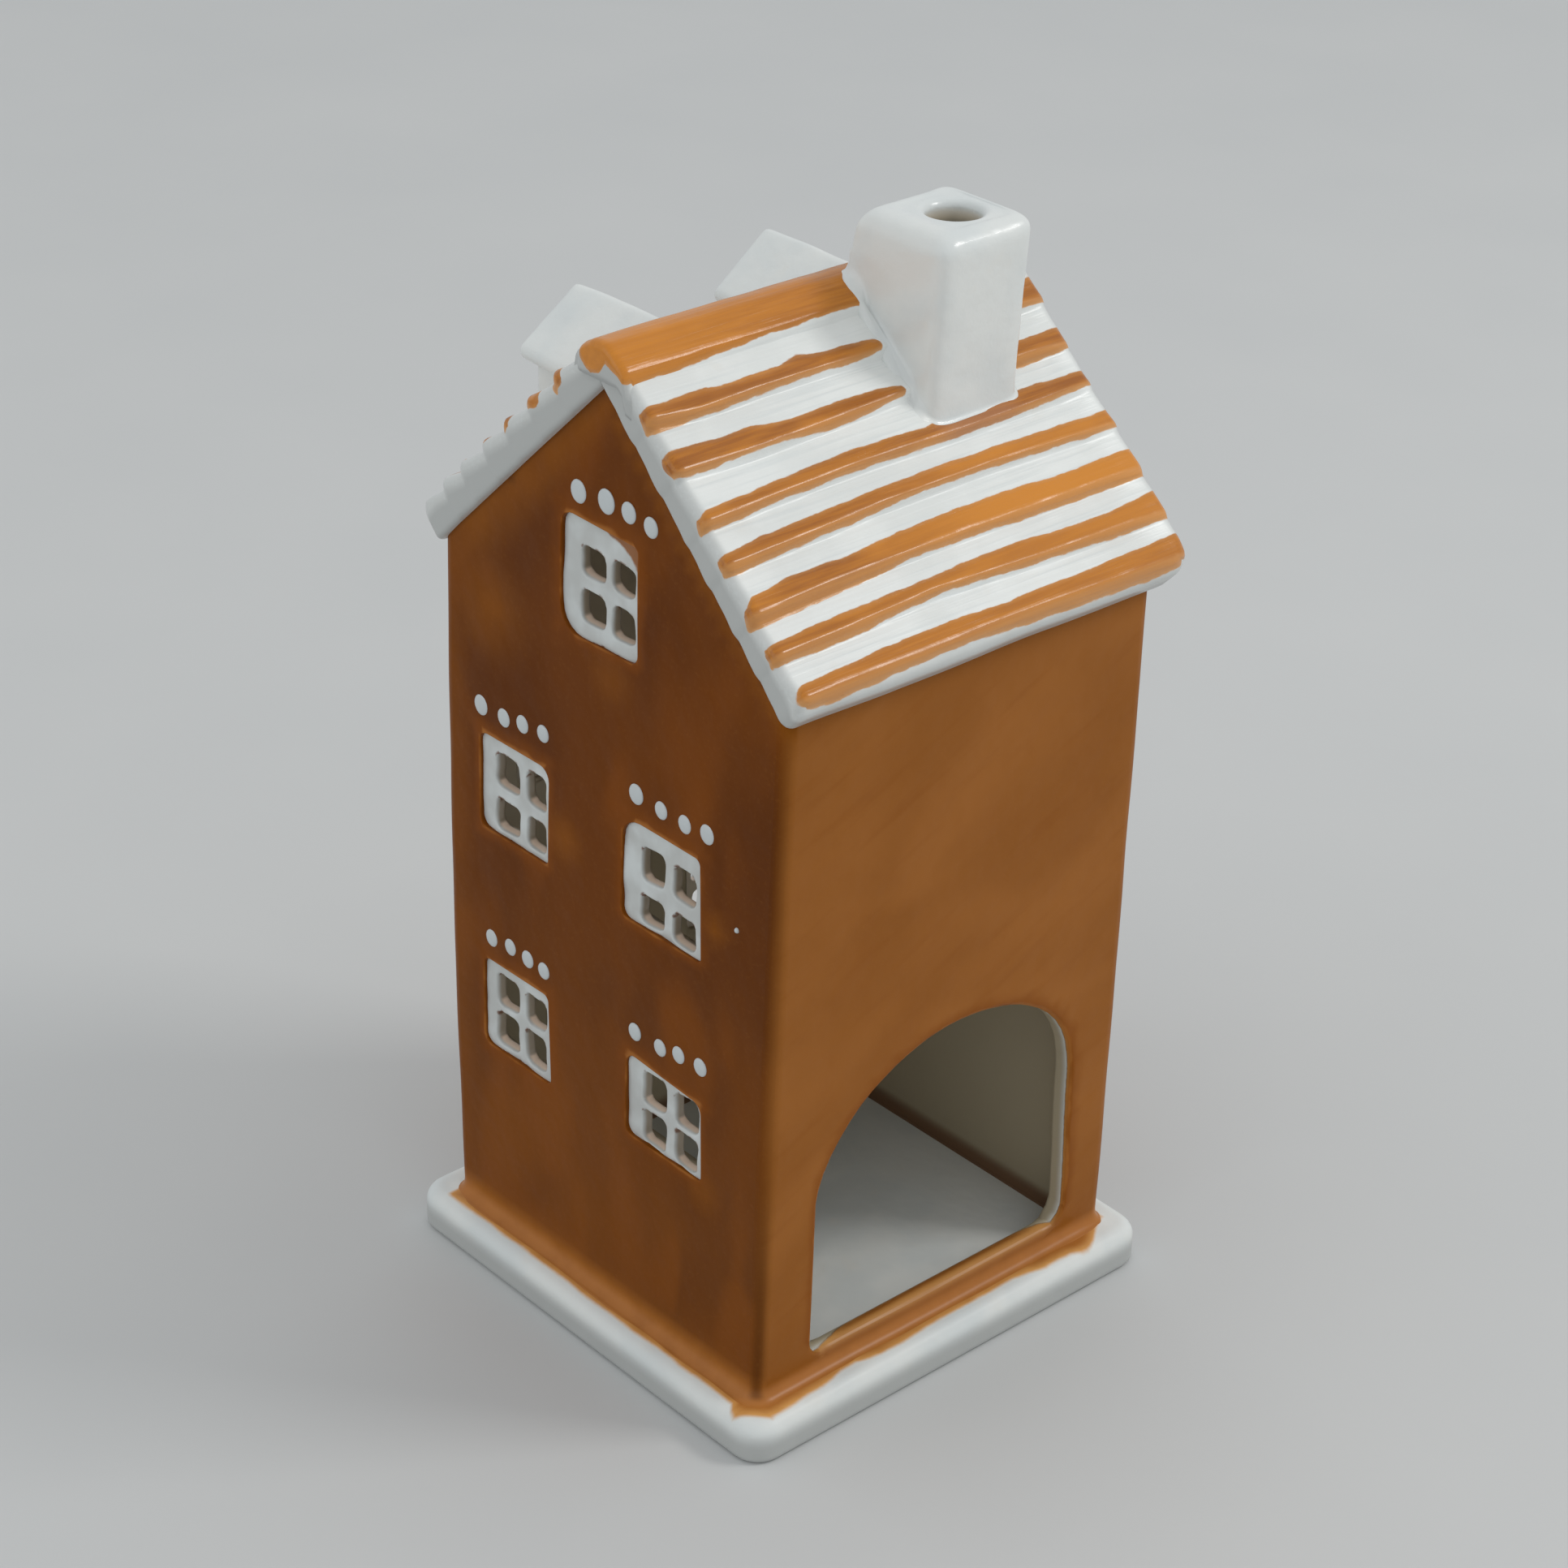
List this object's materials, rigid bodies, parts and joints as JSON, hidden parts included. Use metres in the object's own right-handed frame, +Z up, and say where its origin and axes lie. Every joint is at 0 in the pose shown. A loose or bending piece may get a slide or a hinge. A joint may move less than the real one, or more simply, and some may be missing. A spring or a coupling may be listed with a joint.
{
  "type": "tealight house",
  "caption": "Glazed earthenware candle house with a tall gabled body, stepped roof, chimney flue, pierced windows and a large arch for a tealight.",
  "frame": {"origin": "centre of the base plate's underside, on the surface that the house stands on", "axes": "+Z up, the windowed gable faces -Y, the tealight arch faces +X, the ridge runs along Y"},
  "size_m": [0.0812, 0.0808, 0.1687],
  "materials": {
    "brown_glaze": "translucent brown glaze over white, cloudy and glossy",
    "amber_glaze": "orange-brown glaze along the ridge, glossy",
    "white_glaze": "white glaze, glossy"
  },
  "bodies": {
    "root": {"base_plate": "white_glaze", "window_gable_wall": "brown_glaze", "back_gable_wall": "brown_glaze", "arch_wall": "brown_glaze", "front_wall": "brown_glaze", "roof_slab_arch_side": "white_glaze", "roof_slab_dormer_side": "white_glaze", "ridge_cap": "amber_glaze", "chimney": "white_glaze", "dormer_near_body": "white_glaze", "dormer_near_roof": "white_glaze", "dormer_window_near": "white_glaze", "dormer_far_body": "white_glaze", "dormer_far_roof": "white_glaze", "dormer_window_far": "white_glaze", "gable_window_1": "white_glaze", "gable_window_2": "white_glaze", "gable_window_3": "white_glaze", "gable_window_4": "white_glaze", "gable_window_5": "white_glaze", "back_window_1": "white_glaze", "back_window_2": "white_glaze", "back_window_3": "white_glaze", "front_window_1": "white_glaze", "front_window_2": "white_glaze", "front_window_3": "white_glaze", "front_window_4": "white_glaze"}
  },
  "joints": []
}
